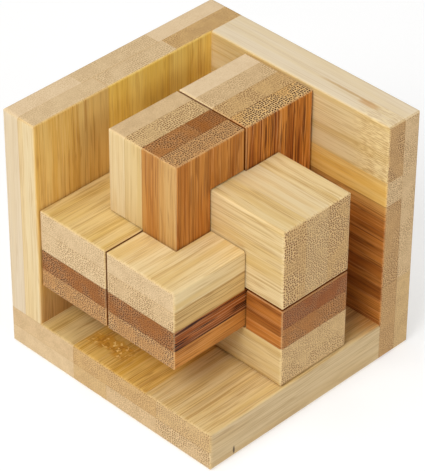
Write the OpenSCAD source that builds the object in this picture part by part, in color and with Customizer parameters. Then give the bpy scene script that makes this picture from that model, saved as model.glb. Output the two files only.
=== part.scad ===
// Six-bar burr puzzle held in an open corner frame of three boards.
// Every bar and board is glued up from flat bamboo plies and strips.
// Origin: centre of the footprint, on the face that the frame stands on. +Z is up.

/* [Bars] */
// Width and height of the space that one bar fills
bar_pitch = 20; // [16:1:26]
// How far the ends of the bars stand past their grid of five half widths
bar_proud = 0.3; // [0:0.1:0.5]
// Play between two neighbouring bars
bar_play = 0.3; // [0.1:0.05:0.4]
// Radius that eases the edges of a bar
bar_ease = 0.6; // [0.3:0.1:1.2]

/* [Corner frame] */
// Thickness of a board, two plies together
board_thickness = 9.5; // [7:0.1:12]
// How far the free edges of the boards stand past the ends of the bars' grid
edge_margin = 0.9; // [0.6:0.1:1.5]
// Radius that eases the outside edges of the frame
frame_ease = 0.8; // [0.6:0.1:2]
// Radius that eases the inner free edges of the boards
inner_ease = 0.5; // [0.3:0.1:1.2]

/* [Easing] */
// Flat facets that make up one eased edge
ease_facets = 3; // [2:1:5]

/* [Hidden] */

// Colours of the bamboo: natural, steamed and dark steamed
PALE = "#e6c68e";
CREAM = "#efd7a8";
TAN = "#cfa877";
BROWN = "#b97840";
DARK = "#8c532e";

// Axis numbers
X = 0;
Y = 1;
Z = 2;

// The burr is laid out on a grid of half bars that is centred on the burr.
// The grid runs from -2 at the three boards to 3 at the free ends of the bars.
cell = bar_pitch / 2;
wall_side = -2 * cell;
free_side = 3 * cell;
frame_low = wall_side - board_thickness;
frame_high = free_side + edge_margin;
frame_size = frame_high - frame_low;
play_half = bar_play / 2;
bar_length = 5 * cell + bar_proud;

// Seam between the two strips that make up one ply of the front post
strip_seam = -0.75 * cell;

// Place of the burr's centre in the part's own frame
middle = (frame_low + frame_high) / 2;
burr_centre = [-middle, middle, -frame_low];

// Longer than the whole puzzle, for cuts that run right through
far = 2 * frame_size;

// Room on the grid of each bar: lowest corner and size, in cells
KEY_ROOM = [[-2, -1, 0], [5, 2, 2]];
CROSS_ROOM = [[-2, -1, -2], [5, 2, 2]];
LEFT_ROOM = [[-2, -3, -1], [2, 5, 2]];
RIGHT_ROOM = [[0, -3, -1], [2, 5, 2]];
FRONT_ROOM = [[-1, -2, -2], [2, 2, 5]];
REAR_ROOM = [[-1, 0, -2], [2, 2, 5]];

// Notches of each bar: lowest corner and size, in cells.
// Only the key is free at first; the other bars then leave in the order of this list.
KEY_CUTS = [[[-2, 0, 0], [3, 1, 2]], [[-2, -1, 0], [2, 1, 1]]];
FRONT_CUTS = [[[-1, -2, -2], [1, 2, 3]], [[-1, -1, 0], [2, 1, 2]], [[0, -1, -2], [1, 1, 1]]];
RIGHT_CUTS = [[[0, -2, -1], [1, 2, 2]], [[0, -1, 0], [2, 2, 1]], [[0, 1, -1], [1, 1, 2]]];
CROSS_CUTS = [[[0, -1, -1], [2, 2, 1]]];
LEFT_CUTS = [[[-2, -1, -1], [2, 2, 1]]];
REAR_CUTS = [[[-1, 0, -2], [2, 1, 2]], [[-1, 0, -1], [1, 2, 2]]];

// Each board: its lowest and highest corners, its normal, the axis across its strips, and the
// seams between the strips of its inner ply and then of its outer ply, in cells
BASE = [
    [frame_low, -frame_high, frame_low], [frame_high, -wall_side, wall_side],
    Z, X, [-1, 1.5], [-1, 0, 1.5]
];
LEFT_WALL = [
    [frame_low, -frame_high, wall_side], [wall_side, -frame_low, frame_high],
    X, Y, [-1, 1], [-1.3, 0.9]
];
REAR_WALL = [
    [wall_side, -wall_side, frame_low], [frame_high, -frame_low, frame_high],
    Y, Z, [-1, 1.1, 1.7], [-1, 0.8]
];

// ---- Shared shapes ----

// Points of a rectangle from low to high with eased corners
function eased_outline(low, high, radius) = [
    for (corner = [0:3])
        let (
            right = corner == 0 || corner == 3,
            upper = corner < 2,
            centre = [
                right ? high[0] - radius : low[0] + radius,
                upper ? high[1] - radius : low[1] + radius
            ]
        )
        for (step = [0:ease_facets])
            let (angle = 90 * (corner + step / ease_facets))
            centre + radius * [cos(angle), sin(angle)]
];

// Bar of eased section along one axis, from the corner low to the corner high
module eased_prism(axis, low, high, radius) {
    length = high[axis] - low[axis];
    if (axis == X)
        translate([low[X], 0, 0])
            rotate([90, 0, 90])
                linear_extrude(length)
                    polygon(eased_outline([low[Y], low[Z]], [high[Y], high[Z]], radius));
    if (axis == Y)
        translate([0, high[Y], 0])
            rotate([90, 0, 0])
                linear_extrude(length)
                    polygon(eased_outline([low[X], low[Z]], [high[X], high[Z]], radius));
    if (axis == Z)
        translate([0, 0, low[Z]])
            linear_extrude(length)
                polygon(eased_outline([low[X], low[Y]], [high[X], high[Y]], radius));
}

// Block whose twelve edges are all eased
module eased_block(low, high, radius) {
    intersection() {
        eased_prism(X, low, high, radius);
        eased_prism(Y, low, high, radius);
        eased_prism(Z, low, high, radius);
    }
}

// Everything between two planes across one axis
module slab(axis, from, to) {
    size = [for (i = [X:Z]) i == axis ? to - from : 2 * far];
    corner = [for (i = [X:Z]) i == axis ? from : -far];
    translate(corner)
        cube(size);
}

// ---- Bars ----

// Notch cut into a bar, with the play that lets its neighbour slide
module notch(cut) {
    translate(cell * cut[0] - play_half * [1, 1, 1])
        cube(cell * cut[1] + bar_play * [1, 1, 1]);
}

// Corners of a whole bar: its room on the grid less the play, and its own length
function bar_low(room) = [
    for (i = [X:Z])
        i == Y && room[1][Y] == 5 ? -wall_side - bar_length : cell * room[0][i] + play_half
];
function bar_high(room) = [
    for (i = [X:Z])
        i != Y && room[1][i] == 5
            ? wall_side + bar_length
            : cell * (room[0][i] + room[1][i]) - play_half
];

// One glued ply of a bar, number index of count along the stacking axis
module ply(room, cuts, axis, index, count) {
    thickness = bar_pitch / count;
    start = cell * room[0][axis] + index * thickness;
    translate(burr_centre)
        difference() {
            intersection() {
                eased_block(bar_low(room), bar_high(room), bar_ease);
                slab(axis, start, start + thickness);
            }
            for (cut = cuts)
                notch(cut);
        }
}

module key_bar_front_ply() { color(PALE) ply(KEY_ROOM, KEY_CUTS, Y, 0, 3); }
module key_bar_middle_ply() { color(CREAM) ply(KEY_ROOM, KEY_CUTS, Y, 1, 3); }
module key_bar_rear_ply() { color(PALE) ply(KEY_ROOM, KEY_CUTS, Y, 2, 3); }

module cross_bar_bottom_ply() { color(PALE) ply(CROSS_ROOM, CROSS_CUTS, Z, 0, 4); }
module cross_bar_lower_ply() { color(CREAM) ply(CROSS_ROOM, CROSS_CUTS, Z, 1, 4); }
module cross_bar_upper_ply() { color(BROWN) ply(CROSS_ROOM, CROSS_CUTS, Z, 2, 4); }
module cross_bar_top_ply() { color(DARK) ply(CROSS_ROOM, CROSS_CUTS, Z, 3, 4); }

module left_bar_bottom_ply() { color(BROWN) ply(LEFT_ROOM, LEFT_CUTS, Z, 0, 4); }
module left_bar_lower_ply() { color(DARK) ply(LEFT_ROOM, LEFT_CUTS, Z, 1, 4); }
module left_bar_upper_ply() { color(PALE) ply(LEFT_ROOM, LEFT_CUTS, Z, 2, 4); }
module left_bar_top_ply() { color(CREAM) ply(LEFT_ROOM, LEFT_CUTS, Z, 3, 4); }

module right_bar_bottom_ply() { color(BROWN) ply(RIGHT_ROOM, RIGHT_CUTS, Z, 0, 4); }
module right_bar_lower_ply() { color(DARK) ply(RIGHT_ROOM, RIGHT_CUTS, Z, 1, 4); }
module right_bar_upper_ply() { color(PALE) ply(RIGHT_ROOM, RIGHT_CUTS, Z, 2, 4); }
module right_bar_top_ply() { color(CREAM) ply(RIGHT_ROOM, RIGHT_CUTS, Z, 3, 4); }

// The front post's third ply is two strips side by side; this is the one between two planes
module front_post_strip(from, to) {
    intersection() {
        ply(FRONT_ROOM, FRONT_CUTS, X, 2, 4);
        translate(burr_centre)
            slab(Y, from, to);
    }
}

module front_post_left_ply() { color(CREAM) ply(FRONT_ROOM, FRONT_CUTS, X, 0, 4); }
module front_post_mid_left_ply() { color(TAN) ply(FRONT_ROOM, FRONT_CUTS, X, 1, 4); }
module front_post_mid_right_front_strip() { color(BROWN) front_post_strip(-far, strip_seam); }
module front_post_mid_right_rear_strip() { color(DARK) front_post_strip(strip_seam, far); }
module front_post_right_ply() { color(BROWN) ply(FRONT_ROOM, FRONT_CUTS, X, 3, 4); }

module rear_post_left_ply() { color(CREAM) ply(REAR_ROOM, REAR_CUTS, X, 0, 4); }
module rear_post_mid_left_ply() { color(TAN) ply(REAR_ROOM, REAR_CUTS, X, 1, 4); }
module rear_post_mid_right_ply() { color(DARK) ply(REAR_ROOM, REAR_CUTS, X, 2, 4); }
module rear_post_right_ply() { color(BROWN) ply(REAR_ROOM, REAR_CUTS, X, 3, 4); }

// ---- Corner frame ----

// Everything on the outer side of the boards' inner faces, across one axis
module outside(axis) {
    if (axis == Y)
        slab(Y, -wall_side, far);
    else
        slab(axis, -far, wall_side);
}

// One whole board. The frame's outside is eased as one cube, after gluing.
// The inner free edges are eased too, but not where the next board covers them.
module board(low, high, across) {
    intersection() {
        eased_block(
            [frame_low, -frame_high, frame_low],
            [frame_high, -frame_low, frame_high],
            frame_ease
        );
        union() {
            eased_block([-far, low[Y], -far], [high[X], far, high[Z]], inner_ease);
            outside(across);
        }
        translate(low)
            cube(high - low);
    }
}

// One glued strip of a board, number index in its inner or its outer ply
module strip(board, inner, index) {
    low = board[0];
    high = board[1];
    normal = board[2];
    across = board[3];
    seams = board[inner ? 4 : 5];
    edges = concat(low[across], cell * seams, high[across]);
    ply_thickness = board_thickness / 2;
    inner_is_upper = normal != Y;
    ply_start = low[normal] + (inner == inner_is_upper ? ply_thickness : 0);
    translate(burr_centre)
        intersection() {
            board(low, high, across);
            slab(normal, ply_start, ply_start + ply_thickness);
            slab(across, edges[index], edges[index + 1]);
        }
}

module base_inner_strip_1() { color(TAN) strip(BASE, true, 0); }
module base_inner_strip_2() { color(PALE) strip(BASE, true, 1); }
module base_inner_strip_3() { color(CREAM) strip(BASE, true, 2); }
module base_outer_strip_1() { color(CREAM) strip(BASE, false, 0); }
module base_outer_strip_2() { color(TAN) strip(BASE, false, 1); }
module base_outer_strip_3() { color(PALE) strip(BASE, false, 2); }
module base_outer_strip_4() { color(TAN) strip(BASE, false, 3); }

module left_wall_inner_strip_1() { color(TAN) strip(LEFT_WALL, true, 0); }
module left_wall_inner_strip_2() { color(PALE) strip(LEFT_WALL, true, 1); }
module left_wall_inner_strip_3() { color(TAN) strip(LEFT_WALL, true, 2); }
module left_wall_outer_strip_1() { color(PALE) strip(LEFT_WALL, false, 0); }
module left_wall_outer_strip_2() { color(TAN) strip(LEFT_WALL, false, 1); }
module left_wall_outer_strip_3() { color(CREAM) strip(LEFT_WALL, false, 2); }

module rear_wall_inner_strip_1() { color(TAN) strip(REAR_WALL, true, 0); }
module rear_wall_inner_strip_2() { color(BROWN) strip(REAR_WALL, true, 1); }
module rear_wall_inner_strip_3() { color(PALE) strip(REAR_WALL, true, 2); }
module rear_wall_inner_strip_4() { color(CREAM) strip(REAR_WALL, true, 3); }
module rear_wall_outer_strip_1() { color(TAN) strip(REAR_WALL, false, 0); }
module rear_wall_outer_strip_2() { color(TAN) strip(REAR_WALL, false, 1); }
module rear_wall_outer_strip_3() { color(CREAM) strip(REAR_WALL, false, 2); }

// ---- Nodes ----

key_bar_front_ply();
key_bar_middle_ply();
key_bar_rear_ply();
cross_bar_bottom_ply();
cross_bar_lower_ply();
cross_bar_upper_ply();
cross_bar_top_ply();
left_bar_bottom_ply();
left_bar_lower_ply();
left_bar_upper_ply();
left_bar_top_ply();
right_bar_bottom_ply();
right_bar_lower_ply();
right_bar_upper_ply();
right_bar_top_ply();
front_post_left_ply();
front_post_mid_left_ply();
front_post_mid_right_front_strip();
front_post_mid_right_rear_strip();
front_post_right_ply();
rear_post_left_ply();
rear_post_mid_left_ply();
rear_post_mid_right_ply();
rear_post_right_ply();
base_inner_strip_1();
base_inner_strip_2();
base_inner_strip_3();
base_outer_strip_1();
base_outer_strip_2();
base_outer_strip_3();
base_outer_strip_4();
left_wall_inner_strip_1();
left_wall_inner_strip_2();
left_wall_inner_strip_3();
left_wall_outer_strip_1();
left_wall_outer_strip_2();
left_wall_outer_strip_3();
rear_wall_inner_strip_1();
rear_wall_inner_strip_2();
rear_wall_inner_strip_3();
rear_wall_inner_strip_4();
rear_wall_outer_strip_1();
rear_wall_outer_strip_2();
rear_wall_outer_strip_3();
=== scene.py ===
"""Six-bar burr puzzle in a corner frame, all of glued bamboo plies, on a pale studio floor."""
import math

import bpy
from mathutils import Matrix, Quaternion, Vector


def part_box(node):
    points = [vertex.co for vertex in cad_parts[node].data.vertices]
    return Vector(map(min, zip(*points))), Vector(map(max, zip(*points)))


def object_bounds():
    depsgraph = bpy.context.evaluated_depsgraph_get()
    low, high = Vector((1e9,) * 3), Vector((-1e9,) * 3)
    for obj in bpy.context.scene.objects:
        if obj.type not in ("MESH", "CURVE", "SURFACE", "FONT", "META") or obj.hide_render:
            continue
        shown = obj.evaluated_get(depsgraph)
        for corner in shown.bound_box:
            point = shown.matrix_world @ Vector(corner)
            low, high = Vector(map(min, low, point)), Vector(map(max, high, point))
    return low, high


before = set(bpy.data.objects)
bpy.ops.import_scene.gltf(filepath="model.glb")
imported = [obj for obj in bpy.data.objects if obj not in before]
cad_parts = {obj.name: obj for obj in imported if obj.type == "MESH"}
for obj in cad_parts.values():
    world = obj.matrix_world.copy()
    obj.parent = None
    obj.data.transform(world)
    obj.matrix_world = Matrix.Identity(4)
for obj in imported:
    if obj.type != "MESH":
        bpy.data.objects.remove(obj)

CAD_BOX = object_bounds()
MM = 0.001

# Where the six bars cross, in millimetres
HEART = (-0.7, 0.7, 29.5)

# ---- How each piece is laid up: grain axis, axis across a ply, axis of the ply stack ----

LAYUP = {
    "key_bar": ("X", "Z", "Y"),
    "cross_bar": ("X", "Y", "Z"),
    "left_bar": ("Y", "X", "Z"),
    "right_bar": ("Y", "X", "Z"),
    "front_post": ("Z", "Y", "X"),
    "rear_post": ("Z", "Y", "X"),
    "base": ("Y", "X", "Z"),
    "left_wall": ("Z", "Y", "X"),
    "rear_wall": ("X", "Z", "Y"),
}

# ---- Tones of bamboo, as sRGB ----

# Along the grain: the ground colour, its honey bands and its dark lines
SIDES = {
    "ivory": ((228, 210, 180), (226, 205, 166), (204, 178, 138)),
    "bone": ((221, 202, 172), (218, 196, 158), (198, 170, 128)),
    "cream": ((226, 204, 159), (224, 196, 142), (200, 164, 112)),
    "pale": ((228, 204, 154), (215, 181, 112), (178, 136, 74)),
    "wheat": ((222, 195, 141), (214, 180, 112), (176, 136, 76)),
    "straw": ((219, 191, 131), (211, 178, 103), (170, 129, 62)),
    "reed": ((212, 178, 116), (196, 154, 84), (146, 102, 48)),
    "honey": ((232, 194, 116), (222, 173, 80), (182, 126, 56)),
    "gold": ((254, 219, 118), (248, 205, 90), (208, 152, 64)),
    "golden": ((220, 178, 94), (206, 156, 56), (160, 108, 38)),
    "sand": ((209, 184, 140), (202, 172, 122), (174, 142, 96)),
    "amber": ((208, 164, 100), (200, 148, 80), (160, 112, 62)),
    "orange": ((200, 143, 73), (188, 120, 48), (116, 62, 22)),
    "copper": ((200, 133, 59), (182, 108, 34), (108, 52, 12)),
    "rust": ((208, 132, 50), (150, 72, 14), (90, 38, 6)),
    "bark": ((194, 122, 50), (152, 83, 24), (84, 36, 6)),
    "dark": ((167, 88, 26), (86, 34, 4), (40, 12, 0)),
}

# Across the grain: the ground colour and the bundles of fibres that dot it
ENDS = {
    "smooth": ((227, 201, 163), (190, 156, 112)),
    "cream": ((220, 192, 149), (160, 124, 82)),
    "pale": ((216, 185, 140), (146, 110, 66)),
    "warm": ((211, 177, 124), (136, 96, 54)),
    "tan": ((208, 170, 113), (126, 82, 42)),
    "fawn": ((197, 157, 104), (120, 78, 40)),
    "brown": ((194, 142, 84), (84, 46, 18)),
    "umber": ((175, 114, 54), (74, 38, 12)),
    "walnut": ((149, 81, 27), (84, 40, 10)),
    "dark": ((158, 93, 30), (64, 26, 2)),
    "spotted": ((216, 168, 100), (66, 28, 4)),
}

# Single marks, worn edges, and the dirt and painted shade in the gaps between the bars
MARKS = {
    "gleam": (255, 232, 184),
    "lattice": (255, 228, 176),
    "node": (206, 146, 44),
    "node vein": (158, 100, 30),
    "node fleck": (255, 222, 140),
    "torn": (228, 196, 130),
    "torn dark": (170, 122, 56),
    "torn light": (250, 228, 170),
    "scar": (190, 150, 96),
    "scar knot": (196, 142, 82),
    "chip": (52, 34, 22),
    "worn edge": (246, 214, 160),
    # Dirt and painted shade in the grooves between the bars
    "gap": (110, 50, 8),
}


def finish(
    side, end, streaks=1.0, dots=0.7, pitch=0.52,
    edge=None, fade=None, knot=None, torn=None, scar=None, fleck=None,
):
    """How one ply looks, with every length and place in millimetres.

    side and end are its tones along and across the grain. edge is the tone of its narrow sides
    where that differs. fade is a tone that it takes on along an axis, between two places.
    streaks and dots are strengths, and pitch is how far apart the dots are.
    knot, torn and scar place a culm node, a patch of torn grain and a thin scar: along each axis
    named, the centre and the half size. fleck is the place of a dark chip.
    """
    return {
        "side": side, "end": end, "streaks": streaks, "dots": dots, "pitch": pitch,
        "edge": edge, "fade": fade, "knot": knot, "torn": torn, "scar": scar, "fleck": fleck,
    }


FINISH = {
    "key_bar_front_ply": finish("pale", "tan", dots=1.9, pitch=0.62),
    "key_bar_middle_ply": finish("cream", "warm", 0.7, dots=1.7, pitch=0.52),
    "key_bar_rear_ply": finish("pale", "tan", 1.2, dots=1.8, pitch=0.56),
    "cross_bar_bottom_ply": finish("wheat", "warm", dots=1.0),
    "cross_bar_lower_ply": finish("wheat", "warm", dots=0.8),
    "cross_bar_upper_ply": finish("bark", "umber", dots=1.0),
    "cross_bar_top_ply": finish("bark", "walnut", dots=0.9, pitch=0.50),
    "left_bar_bottom_ply": finish("orange", "brown", dots=1.3),
    "left_bar_lower_ply": finish("dark", "dark", 1.2, dots=1.15, pitch=0.54),
    "left_bar_upper_ply": finish("pale", "cream", dots=1.1),
    "left_bar_top_ply": finish("straw", "cream", dots=0.6),
    "right_bar_bottom_ply": finish("orange", "brown", dots=1.8, edge="copper"),
    "right_bar_lower_ply": finish("dark", "dark", 2.1, dots=1.15, pitch=0.54),
    "right_bar_upper_ply": finish("pale", "pale", 1.2, dots=1.2, edge="reed"),
    "right_bar_top_ply": finish("pale", "cream", 0.8, dots=0.6),
    "front_post_left_ply": finish("cream", "pale", 0.7, dots=0.15),
    "front_post_mid_left_ply": finish("wheat", "warm", 0.6, dots=1.5, pitch=0.54),
    "front_post_mid_right_front_strip": finish("orange", "umber", 0.8, dots=1.0, pitch=0.56),
    "front_post_mid_right_rear_strip": finish("dark", "dark", dots=0.7),
    "front_post_right_ply": finish("copper", "brown", 0.9, dots=1.1, edge="amber"),
    "rear_post_left_ply": finish("cream", "smooth", 0.6, dots=0.15),
    "rear_post_mid_left_ply": finish("cream", "pale", 0.7, dots=0.7),
    "rear_post_mid_right_ply": finish("amber", "tan", dots=1.1),
    "rear_post_right_ply": finish("rust", "spotted", 1.6, dots=2.0, pitch=0.56),
    "base_inner_strip_1": finish("straw", "pale", 1.2, dots=0.15),
    "base_inner_strip_2": finish(
        "golden", "tan", 1.2, dots=0.6, fade=("wheat", "X", 10.7, 11.7),
        knot={"X": (-4.9, 7.0), "Y": (-24.3, 2.8)},
    ),
    # Browner towards the rear wall: painted shade where the bars and the rear wall shadow the base
    "base_inner_strip_3": finish(
        "wheat", "warm", 1.2, dots=0.8, edge="sand", fade=("orange", "Y", 9.0, 24.0)
    ),
    "base_outer_strip_1": finish("cream", "cream", 0.8, dots=0.15),
    "base_outer_strip_2": finish("pale", "warm", 0.9, dots=0.3),
    "base_outer_strip_3": finish("pale", "pale", 0.9, dots=0.6),
    "base_outer_strip_4": finish("pale", "pale", 0.9, dots=1.4, edge="sand", fleck=(30.2, -23.4, 1.8)),
    # Amber towards the base: painted shade from the bars
    "left_wall_inner_strip_1": finish(
        "honey", "cream", dots=0.35, edge="cream", fade=("amber", "Z", 24.0, 12.0)
    ),
    "left_wall_inner_strip_2": finish("gold", "cream", 0.8, dots=0.7),
    "left_wall_inner_strip_3": finish("gold", "tan", 1.2, dots=0.6, edge="wheat"),
    "left_wall_outer_strip_1": finish("cream", "smooth", 0.7, dots=0.5, edge="bone"),
    "left_wall_outer_strip_2": finish("pale", "cream", 0.9, dots=0.6),
    "left_wall_outer_strip_3": finish("cream", "smooth", 0.8, dots=0.3),
    # Bark on the two lowest inner strips, turning to honey only towards the top: mainly painted shade of
    # the slot behind the key and cross bars
    "rear_wall_inner_strip_1": finish("bark", "fawn", 1.0, dots=0.6),
    "rear_wall_inner_strip_2": finish("bark", "fawn", 1.1, dots=1.0, fade=("honey", "Z", 35.0, 46.0)),
    "rear_wall_inner_strip_3": finish("honey", "pale", 0.6, dots=0.9),
    "rear_wall_inner_strip_4": finish(
        "pale", "fawn", 0.7, dots=1.2, edge="ivory", torn={"X": (29.0, 11.0), "Z": (51.0, 14.0)},
        scar=({"X": (15.5, 10.0), "Y": (24.6, 0.45)}, {"X": (21.3, 3.2), "Y": (24.0, 1.0)}),
    ),
    "rear_wall_outer_strip_1": finish("cream", "warm", 0.8, dots=0.4),
    "rear_wall_outer_strip_2": finish("pale", "pale", 0.9, dots=0.8),
    "rear_wall_outer_strip_3": finish("cream", "pale", 0.5, dots=0.8, edge="ivory"),
}


# ---- Materials ----

def linear(colour):
    """Linear RGBA of an sRGB colour given as three numbers up to 255."""
    def channel(value):
        value /= 255
        return value / 12.92 if value <= 0.04045 else ((value + 0.055) / 1.055) ** 2.4
    return [channel(value) for value in colour] + [1.0]


def mark(name):
    return linear(MARKS[name])


class Graph:
    """Small helper that adds nodes to a material and returns their output sockets."""

    def __init__(self, material):
        self.tree = material.node_tree

    def add(self, kind, **settings):
        node = self.tree.nodes.new(kind)
        for name, value in settings.items():
            setattr(node, name, value)
        return node

    def put(self, socket, value):
        if isinstance(value, bpy.types.NodeSocket):
            self.tree.links.new(value, socket)
        else:
            socket.default_value = value

    def math(self, operation, *values, clamp=False):
        node = self.add("ShaderNodeMath", operation=operation, use_clamp=clamp)
        for socket, value in zip(node.inputs, values):
            self.put(socket, value)
        return node.outputs[0]

    def size(self, value):
        return self.math("ABSOLUTE", value)

    def split(self, vector):
        node = self.add("ShaderNodeSeparateXYZ")
        self.put(node.inputs[0], vector)
        return list(node.outputs)

    def vector(self, x, y, z):
        node = self.add("ShaderNodeCombineXYZ")
        for socket, value in zip(node.inputs, (x, y, z)):
            self.put(socket, value)
        return node.outputs[0]

    def noise(self, vector, scale, detail=2.0, roughness=0.5):
        """Smooth noise around a half, with its features about 1 / scale across."""
        node = self.add("ShaderNodeTexNoise")
        self.put(node.inputs["Vector"], vector)
        node.inputs["Scale"].default_value = scale
        node.inputs["Detail"].default_value = detail
        node.inputs["Roughness"].default_value = roughness
        return node.outputs[0]

    def step(self, value, low, high):
        """Smooth step from 0 at low to 1 at high, or the other way round if low is the larger."""
        node = self.add("ShaderNodeMapRange", interpolation_type="SMOOTHSTEP")
        up = low < high
        self.put(node.inputs[0], value)
        node.inputs[1].default_value = low if up else high
        node.inputs[2].default_value = high if up else low
        node.inputs[3].default_value = 0.0 if up else 1.0
        node.inputs[4].default_value = 1.0 if up else 0.0
        return node.outputs[0]

    def mix(self, factor, first, second):
        node = self.add("ShaderNodeMix", data_type="RGBA")
        self.put(node.inputs[0], factor)
        self.put(node.inputs[6], first)
        self.put(node.inputs[7], second)
        return node.outputs[2]

    def tint(self, colour, where, strength, tone):
        """Colour with a tone laid over it, as strongly as strength says where it lies."""
        return self.mix(self.math("MULTIPLY", where, strength, clamp=True), colour, tone)


class Ply:
    """One ply's wood as sockets, in millimetres: along its fibres, across them and through the ply."""

    SEED_SPACING = 37.0
    SWAY = 0.6
    DIP = 0.8

    def __init__(self, graph, node, layup, seed):
        self.graph = graph
        self.grain, self.across, self.stack = ("XYZ".index(axis) for axis in layup)
        self.low, self.high = ([value / MM for value in corner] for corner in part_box(node))
        coordinates = graph.add("ShaderNodeTexCoord")
        place = graph.split(coordinates.outputs["Object"])
        self.facing = graph.split(coordinates.outputs["Normal"])
        self.at = [graph.math("MULTIPLY", socket, 1 / MM) for socket in place]
        self.offset = self.SEED_SPACING * seed
        self.lie()

    def lie(self):
        """Fibres waver slowly, so that streaks start and stop where a flat face cuts them."""
        graph = self.graph
        self.width, self.depth = self.at[self.across], self.at[self.stack]
        self.along = graph.math("ADD", self.at[self.grain], self.offset)
        slow = graph.math("MULTIPLY", self.along, 0.05)
        by_depth = graph.vector(slow, graph.math("MULTIPLY", self.depth, 0.10), self.offset)
        by_width = graph.vector(slow, graph.math("MULTIPLY", self.width, 0.5), self.offset)
        sway = graph.math("MULTIPLY_ADD", graph.noise(by_depth, 1.0), self.SWAY, self.offset)
        dip = graph.math("MULTIPLY_ADD", graph.noise(by_width, 1.0), self.DIP, self.offset)
        self.u = graph.math("ADD", self.width, sway)
        self.v = graph.math("ADD", self.depth, dip)

    def section(self):
        """Place among the fibres, the same all along the grain."""
        return self.graph.vector(self.u, self.v, 0.0)

    def drawn_out(self, share):
        """Place among the fibres, with its length along the grain cut to a share."""
        return self.graph.vector(self.u, self.v, self.graph.math("MULTIPLY", self.along, share))

    def solid(self, share=1.0):
        """Place in the straight ply, with its length along the grain cut to a share."""
        along = self.along if share == 1.0 else self.graph.math("MULTIPLY", self.along, share)
        return self.graph.vector(self.width, self.depth, along)


def cells(ply, pitch, feature):
    """Irregular cells across the grain, one for each bundle of fibres."""
    node = ply.graph.add("ShaderNodeTexVoronoi", voronoi_dimensions="2D", feature=feature)
    ply.graph.put(node.inputs["Vector"], ply.section())
    node.inputs["Scale"].default_value = 1.0 / pitch
    node.inputs["Randomness"].default_value = 0.70
    return node


def bundles(ply, pitch):
    """The dark core of each bundle of fibres, and the light lattice between the bundles."""
    graph = ply.graph
    centres = cells(ply, pitch, "F1")
    rim = cells(ply, pitch, "DISTANCE_TO_EDGE").outputs["Distance"]
    vigour = graph.add("ShaderNodeSeparateColor")
    graph.put(vigour.inputs[0], centres.outputs["Color"])
    core = graph.step(centres.outputs["Distance"], 0.52, 0.22)
    core = graph.math("MULTIPLY", core, graph.step(rim, 0.05, 0.20))
    core = graph.math("MULTIPLY", core, graph.math("MULTIPLY_ADD", vigour.outputs[0], 0.5, 0.6), clamp=True)
    return core, graph.step(rim, 0.15, 0.05)


def retone(ply, tones, where, name):
    """Ground, band and line of a side, changed to those of another tone where it lies."""
    return [ply.graph.mix(where, own, linear(other)) for own, other in zip(tones, SIDES[name])]


def side_colour(ply, look, core):
    """Colour of a face along the grain: honey bands, fine lines, dark dashes and pale gleams."""
    graph = ply.graph
    streaks = look["streaks"]
    tones = [linear(colour) for colour in SIDES[look["side"]]]
    if look["fade"]:
        name, axis, start, end = look["fade"]
        tones = retone(ply, tones, graph.step(ply.at["XYZ".index(axis)], start, end), name)
    if look["edge"]:
        narrow = graph.step(graph.size(ply.facing[ply.across]), 0.6, 0.8)
        tones = retone(ply, tones, narrow, look["edge"])
    ground, band, line = tones

    broad = graph.step(graph.noise(ply.drawn_out(0.06), scale=0.34, detail=3.0), 0.40, 0.64)
    fine = graph.noise(ply.drawn_out(0.010), scale=3.4, detail=3.0, roughness=0.62)
    crowd = graph.step(graph.noise(ply.drawn_out(0.05), scale=0.42), 0.42, 0.60)
    crowd = graph.math("MULTIPLY_ADD", crowd, 0.7, 0.3)
    lines = graph.math("MULTIPLY", graph.step(fine, 0.48, 0.64), crowd)
    gleams = graph.step(fine, 0.46, 0.36)
    ridge = graph.math("SUBTRACT", graph.noise(ply.drawn_out(0.03), scale=0.75), 0.5)
    hairlines = graph.step(graph.size(ridge), 0.028, 0.008)
    breaks = graph.step(graph.noise(ply.drawn_out(0.12), scale=0.7), 0.42, 0.58)
    dashes = graph.math("MULTIPLY", graph.math("MAXIMUM", core, hairlines), breaks)

    colour = graph.tint(ground, broad, 0.8, band)
    colour = graph.tint(colour, lines, 0.52 * streaks, line)
    colour = graph.tint(colour, gleams, 0.30 * streaks, graph.mix(0.30, ground, mark("gleam")))
    return graph.tint(colour, dashes, 0.50 * streaks, line), fine


def end_colour(ply, look, core, lattice):
    """Colour of a face across the grain: dots, denser in places, on a finely speckled ground."""
    graph = ply.graph
    ground, dot = (linear(colour) for colour in ENDS[look["end"]])
    stain = graph.step(graph.noise(ply.section(), scale=0.35), 0.40, 0.65)
    speckle = graph.step(graph.noise(ply.solid(), scale=3.2), 0.42, 0.62)
    dense = graph.step(graph.noise(ply.section(), scale=0.16, detail=1.0), 0.36, 0.58)
    dense = graph.math("MULTIPLY_ADD", dense, 0.65, 0.35)
    colour = graph.tint(ground, stain, 0.14, dot)
    colour = graph.tint(colour, speckle, 0.16, dot)
    colour = graph.tint(colour, graph.math("MULTIPLY", core, dense), look["dots"], dot)
    pale = graph.mix(0.55, ground, mark("lattice"))
    return graph.tint(colour, graph.math("MULTIPLY", lattice, dense), 0.36 * look["dots"], pale)


def spot(ply, place, ragged=0.0):
    """Soft spot on a ply: along each axis named, its centre and its half size."""
    graph = ply.graph
    inside = []
    for axis, (centre, reach) in place.items():
        offset = graph.math("SUBTRACT", ply.at["XYZ".index(axis)], centre)
        offset = graph.size(graph.math("ADD", offset, ragged))
        inside.append(graph.step(graph.math("DIVIDE", offset, reach), 1.0, 0.4))
    return graph.math("MULTIPLY", *inside)


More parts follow.
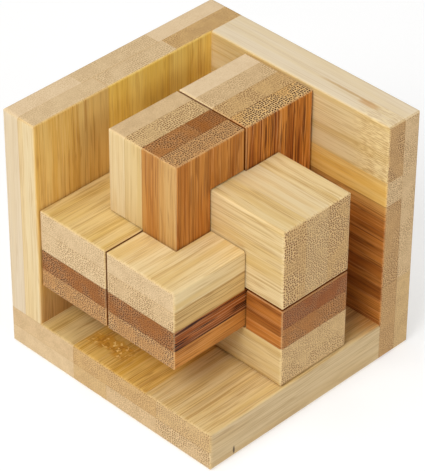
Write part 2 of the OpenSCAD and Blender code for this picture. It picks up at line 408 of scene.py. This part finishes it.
def culm_node(ply, look, colour):
    """A culm node crosses the ply: a ragged amber band with veins and bright flecks."""
    graph = ply.graph
    noise = graph.noise(ply.solid(), scale=0.32, detail=3.0, roughness=0.6)
    patch = spot(ply, look["knot"], graph.math("MULTIPLY_ADD", noise, 6.0, -3.0))
    veins = graph.step(graph.size(graph.math("SUBTRACT", noise, 0.5)), 0.05, 0.01)
    flecks = graph.step(graph.noise(ply.solid(), scale=1.5, detail=1.0), 0.60, 0.66)
    colour = graph.tint(colour, patch, 0.75, mark("node"))
    colour = graph.tint(colour, graph.math("MULTIPLY", patch, veins), 0.6, mark("node vein"))
    return graph.tint(colour, graph.math("MULTIPLY", patch, flecks), 0.75, mark("node fleck"))


def torn_grain(ply, look, colour):
    """Fibres torn short near a node: a patch of close dark and light dashes along the grain."""
    graph = ply.graph
    patch = spot(ply, look["torn"])
    dashes = graph.noise(ply.solid(0.11), scale=4.4, detail=1.0)
    dark = graph.math("MULTIPLY", patch, graph.step(dashes, 0.53, 0.59))
    light = graph.math("MULTIPLY", patch, graph.step(dashes, 0.47, 0.41))
    colour = graph.tint(colour, patch, 0.35, mark("torn"))
    colour = graph.tint(colour, dark, 0.42, mark("torn dark"))
    return graph.tint(colour, light, 0.45, mark("torn light"))


def scar(ply, look, colour):
    """A thin brown line along the grain, darkest at the small knot where it ends."""
    graph = ply.graph
    line, knot = look["scar"]
    waver = graph.math("MULTIPLY_ADD", graph.noise(ply.solid(), scale=0.4), 0.4, -0.2)
    colour = graph.tint(colour, spot(ply, line, waver), 0.60, mark("scar"))
    return graph.tint(colour, spot(ply, knot, waver), 0.55, mark("scar knot"))


def dark_fleck(ply, look, colour):
    """A small dark chip on an edge, taller than it is wide."""
    graph = ply.graph
    x, y, z = (graph.math("SUBTRACT", socket, value) for socket, value in zip(ply.at, look["fleck"]))
    gap = graph.add("ShaderNodeVectorMath", operation="LENGTH")
    graph.put(gap.inputs[0], graph.vector(x, y, graph.math("MULTIPLY", z, 0.3)))
    chip = graph.step(gap.outputs["Value"], 0.40, 0.15)
    return graph.tint(colour, chip, 0.85, mark("chip"))


def glue_lines(ply):
    """Thin lines along the glued faces of a ply, on the faces that cross it."""
    graph = ply.graph
    lines = []
    for axis in (ply.across, ply.stack):
        from_low, from_high = (
            graph.size(graph.math("SUBTRACT", ply.at[axis], corner[axis]))
            for corner in (ply.low, ply.high)
        )
        near = graph.step(graph.math("MINIMUM", from_low, from_high), 0.11, 0.04)
        crossing = graph.step(graph.size(ply.facing[axis]), 0.4, 0.2)
        lines.append(graph.math("MULTIPLY", near, crossing))
    return graph.math("MAXIMUM", *lines)


def edge_wear_and_gap_dirt_shade(ply):
    """How much a place is on an eased edge, and how much on one that meets the next bar, where the gap tint
    paints dirt and shade into the groove.
    """
    graph = ply.graph
    steepness = [graph.size(socket) for socket in ply.facing]
    steepest = graph.math("MAXIMUM", graph.math("MAXIMUM", *steepness[:2]), steepness[2])
    eased = graph.step(steepest, 0.99, 0.85)
    outward = graph.math("ADD", *(
        graph.math("MULTIPLY", ply.facing[axis], graph.math("SUBTRACT", ply.at[axis], HEART[axis]))
        for axis in (ply.across, ply.stack)
    ))
    inward = graph.step(outward, 6.0, 2.0)
    lateral = graph.math("MAXIMUM", steepness[ply.across], steepness[ply.stack])
    sloping = graph.math("MULTIPLY", graph.step(lateral, 0.80, 0.92), graph.step(lateral, 0.999, 0.985))
    return eased, graph.math("MULTIPLY", inward, sloping)


def bamboo(node, layup, look, seed):
    """Solid bamboo: long fibres that show as streaks along the grain and as dots across it."""
    material = bpy.data.materials.new("bamboo_" + node)
    material.use_nodes = True
    graph = Graph(material)
    shader = material.node_tree.nodes["Principled BSDF"]
    ply = Ply(graph, node, layup, seed)
    core, lattice = bundles(ply, look["pitch"])

    colour, fine = side_colour(ply, look, core)
    if look["knot"]:
        colour = culm_node(ply, look, colour)
    if look["torn"]:
        colour = torn_grain(ply, look, colour)
    if look["scar"]:
        colour = scar(ply, look, colour)
    cut = graph.step(graph.size(ply.facing[ply.grain]), 0.6, 0.85)
    colour = graph.mix(cut, colour, end_colour(ply, look, core, lattice))
    if look["fleck"]:
        colour = dark_fleck(ply, look, colour)
    line = linear(SIDES[look["side"]][2])
    colour = graph.tint(colour, glue_lines(ply), 0.30, line)

    shine = 0.2
    if "bar" in node or "post" in node:
        eased, gap = edge_wear_and_gap_dirt_shade(ply)
        colour = graph.tint(colour, eased, 0.18, mark("worn edge"))
        # Grooves where the bars meet are darkened with dirt and painted shade, and their specular is cut as
        # well
        colour = graph.tint(colour, gap, 0.85, mark("gap"))
        shine = graph.math("MULTIPLY_ADD", gap, -shine, shine)
    graph.put(shader.inputs["Base Color"], colour)
    graph.put(shader.inputs["Specular IOR Level"], shine)

    rough = graph.math("MULTIPLY_ADD", fine, 0.25, 0.42)
    graph.put(shader.inputs["Roughness"], graph.math("MULTIPLY_ADD", cut, 0.12, rough))

    bump = graph.add("ShaderNodeBump")
    bump.inputs["Strength"].default_value = 0.35
    bump.inputs["Distance"].default_value = 0.05 * MM
    pits = graph.math("MULTIPLY", core, -0.6)
    graph.put(bump.inputs["Height"], graph.math("MULTIPLY_ADD", fine, 0.6, pits))
    graph.put(shader.inputs["Normal"], bump.outputs[0])
    return material


def smooth_edges(piece):
    """Rounds the look of the eased edges without moving the flat faces' shading."""
    for polygon in piece.data.polygons:
        polygon.use_smooth = True
    piece.data.set_sharp_from_angle(angle=math.radians(35))
    weighted = piece.modifiers.new("even_faces", "WEIGHTED_NORMAL")
    weighted.keep_sharp = True
    weighted.weight = 100


def finish_pieces():
    for seed, (node, look) in enumerate(FINISH.items(), start=1):
        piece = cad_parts[node]
        part = next(name for name in LAYUP if node.startswith(name + "_"))
        piece.data.materials.clear()
        piece.data.materials.append(bamboo(node, LAYUP[part], look, seed))
        smooth_edges(piece)


# ---- Studio ----

def floor():
    """Pale floor that glows a little, so that it stays nearly white around the shadow."""
    bpy.ops.mesh.primitive_plane_add(size=6.0, location=(0, 0, -0.2 * MM))
    plane = bpy.context.object
    plane.name = "floor"
    material = bpy.data.materials.new("pale_floor")
    material.use_nodes = True
    graph = Graph(material)
    shader = material.node_tree.nodes["Principled BSDF"]
    position = graph.add("ShaderNodeTexCoord").outputs["Object"]
    shade = graph.math("MULTIPLY_ADD", graph.noise(position, scale=40.0, detail=3.0), 0.02, 0.55)
    grey = graph.add("ShaderNodeCombineColor")
    for socket in grey.inputs:
        graph.put(socket, shade)
    graph.put(shader.inputs["Base Color"], grey.outputs[0])
    shader.inputs["Roughness"].default_value = 0.9
    shader.inputs["Emission Color"].default_value = (1.0, 1.0, 1.0, 1.0)
    shader.inputs["Emission Strength"].default_value = 0.49
    shader.inputs["Specular IOR Level"].default_value = 0.1
    plane.data.materials.append(material)


def soft_light(name, target, direction, distance, size, power):
    lamp = bpy.data.objects.new(name, bpy.data.lights.new(name, "AREA"))
    lamp.data.shape = "DISK"
    lamp.data.size = size
    lamp.data.energy = power
    lamp.location = target + Vector(direction).normalized() * distance
    lamp.rotation_euler = (target - lamp.location).to_track_quat("-Z", "Y").to_euler()
    bpy.context.scene.collection.objects.link(lamp)


def studio(target):
    world = bpy.data.worlds.new("studio")
    world.use_nodes = True
    background = world.node_tree.nodes["Background"]
    background.inputs["Color"].default_value = (1.0, 0.99, 0.97, 1.0)
    background.inputs["Strength"].default_value = 0.30
    bpy.context.scene.world = world
    soft_light("key", target, direction=(0.2, -1.0, 1.05), distance=1.2, size=0.7, power=9.2)
    soft_light("top", target, direction=(-0.2, -0.1, 1.0), distance=1.2, size=0.7, power=3.2)
    soft_light("fill", target, direction=(1.0, -0.05, 0.5), distance=1.4, size=0.6, power=3.4)


def camera(target):
    azimuth = math.radians(44.75)
    elevation = math.radians(36.88)
    roll = Quaternion((0, 0, 1), math.radians(0.35))
    distance = 0.5824
    aim = target + Vector((0.23, 0.26, -2.0)) * MM
    towards = Vector((
        -math.sin(azimuth) * math.cos(elevation),
        math.cos(azimuth) * math.cos(elevation),
        -math.sin(elevation),
    ))
    lens = bpy.data.objects.new("camera", bpy.data.cameras.new("camera"))
    lens.location = aim - towards * distance
    lens.rotation_euler = (towards.to_track_quat("-Z", "Y") @ roll).to_euler()
    lens.data.sensor_width = 36.0
    lens.data.lens = 211.7
    lens.data.clip_start = 0.05
    bpy.context.scene.collection.objects.link(lens)
    bpy.context.scene.camera = lens


low_corner, high_corner = (Vector(corner) for corner in CAD_BOX)
centre = (low_corner + high_corner) / 2

bpy.context.scene.view_settings.view_transform = "Standard"
camera(centre)
studio(centre)
floor()
finish_pieces()
